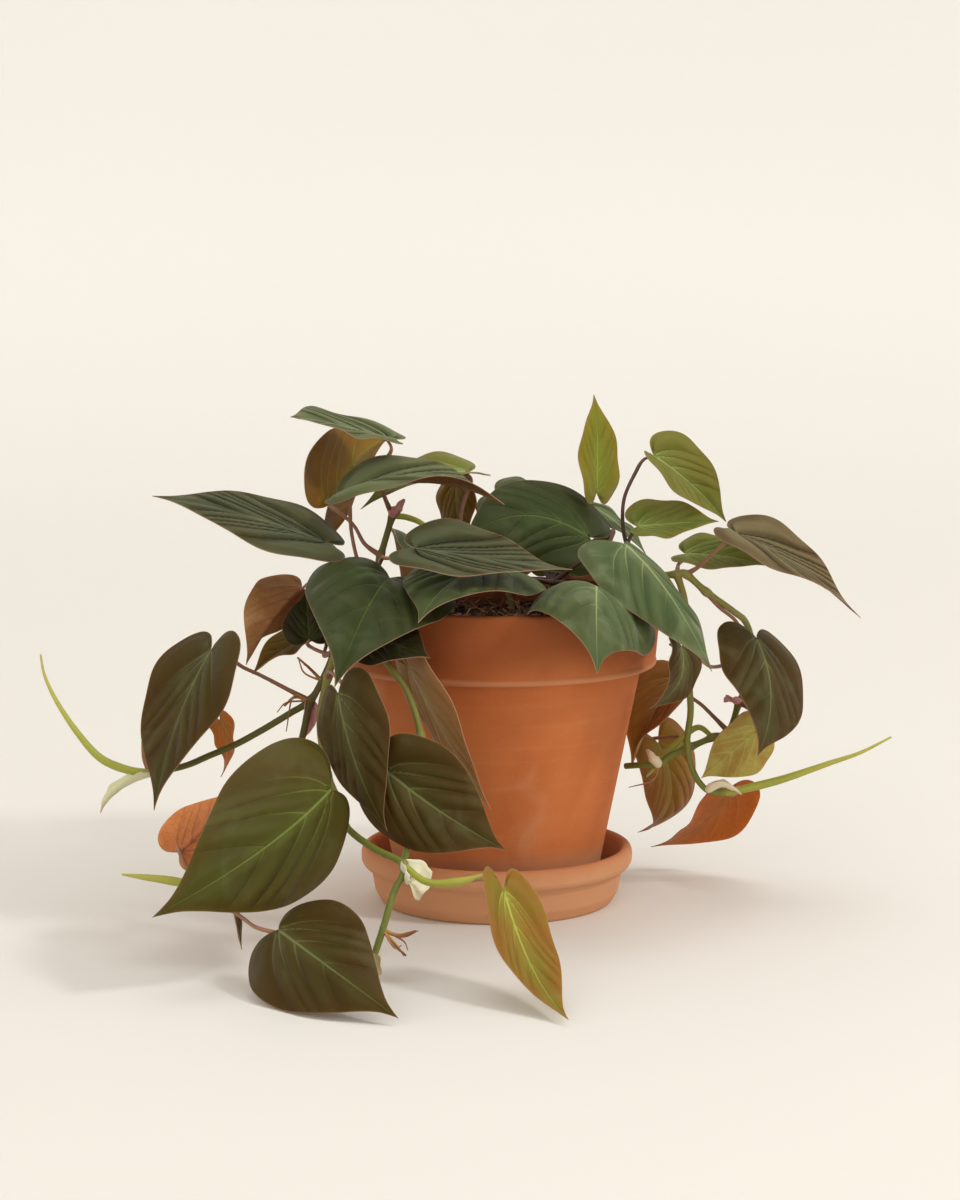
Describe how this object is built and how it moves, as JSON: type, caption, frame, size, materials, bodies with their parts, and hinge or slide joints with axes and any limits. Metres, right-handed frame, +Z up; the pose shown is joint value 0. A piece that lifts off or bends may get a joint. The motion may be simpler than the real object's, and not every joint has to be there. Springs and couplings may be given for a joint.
{
  "type": "potted philodendron",
  "caption": "Trailing velvet-leaved climbing philodendron with heart-shaped leaves, rooted in a collared terracotta pot that stands in a matching saucer.",
  "frame": {"origin": "middle of the saucer's flat underside, on the surface that the plant stands on", "axes": "+Z up the pot's axis, -Y toward the side where most of the vines trail, +X to the right seen from there"},
  "size_m": [0.3686, 0.3043, 0.217],
  "materials": {
    "terracotta": "matte unglazed terracotta with a faint thrown texture",
    "soil": "damp bark and coir potting mix",
    "vine": "smooth green to reddish brown living stem",
    "leaf_green": "velvety deep green leaf with pale veins",
    "leaf_bronze": "velvety bronze and olive leaf with pale veins",
    "leaf_young": "soft young leaf, salmon to yellow green"
  },
  "bodies": {
    "root": {"saucer": "terracotta", "pot": "terracotta", "soil": "soil", "vine_left": "vine", "vine_front": "vine", "vine_crown": "vine", "vine_crown_back": "vine", "vine_centre": "vine", "vine_right_upright": "vine", "vine_right": "vine", "vine_back": "vine", "leaf_crown_top": "leaf_green", "leaf_crown_back": "leaf_bronze", "leaf_crown_front": "leaf_green", "leaf_crown_right": "leaf_green", "leaf_crown_upright": "leaf_bronze", "leaf_left_reach": "leaf_bronze", "leaf_centre_lobe": "leaf_green", "leaf_centre_big": "leaf_green", "leaf_centre_behind": "leaf_green", "leaf_centre_ribbed": "leaf_green", "leaf_front_drape": "leaf_green", "leaf_front_big": "leaf_green", "leaf_front_under": "leaf_bronze", "leaf_left_underside": "leaf_bronze", "leaf_left_olive": "leaf_bronze", "leaf_left_dark": "leaf_bronze", "leaf_left_long": "leaf_bronze", "leaf_left_young": "leaf_young", "leaf_left_peach": "leaf_young", "leaf_low_big": "leaf_bronze", "leaf_low_tip": "leaf_bronze", "leaf_floor_brown": "leaf_bronze", "leaf_front_long": "leaf_bronze", "leaf_front_brown": "leaf_bronze", "leaf_pot_hugging": "leaf_bronze", "leaf_right_upright": "leaf_green", "leaf_right_arching": "leaf_bronze", "leaf_right_flat": "leaf_green", "leaf_right_behind": "leaf_bronze", "leaf_right_reach": "leaf_bronze", "leaf_right_hanging": "leaf_bronze", "leaf_right_drape": "leaf_green", "leaf_rim_drape": "leaf_green", "leaf_curled_brown": "leaf_bronze", "leaf_right_inner": "leaf_bronze", "leaf_right_purple": "leaf_bronze", "leaf_right_orange": "leaf_young", "leaf_right_pale": "leaf_young", "leaf_floor_pale": "leaf_young", "leaf_back_upper": "leaf_green", "leaf_back_left": "leaf_green", "leaf_back_right": "leaf_bronze", "leaf_back_crown": "leaf_green", "leaf_back_low": "leaf_bronze", "leaf_back_low_left": "leaf_bronze", "leaf_back_low_right": "leaf_bronze"}
  },
  "joints": []
}
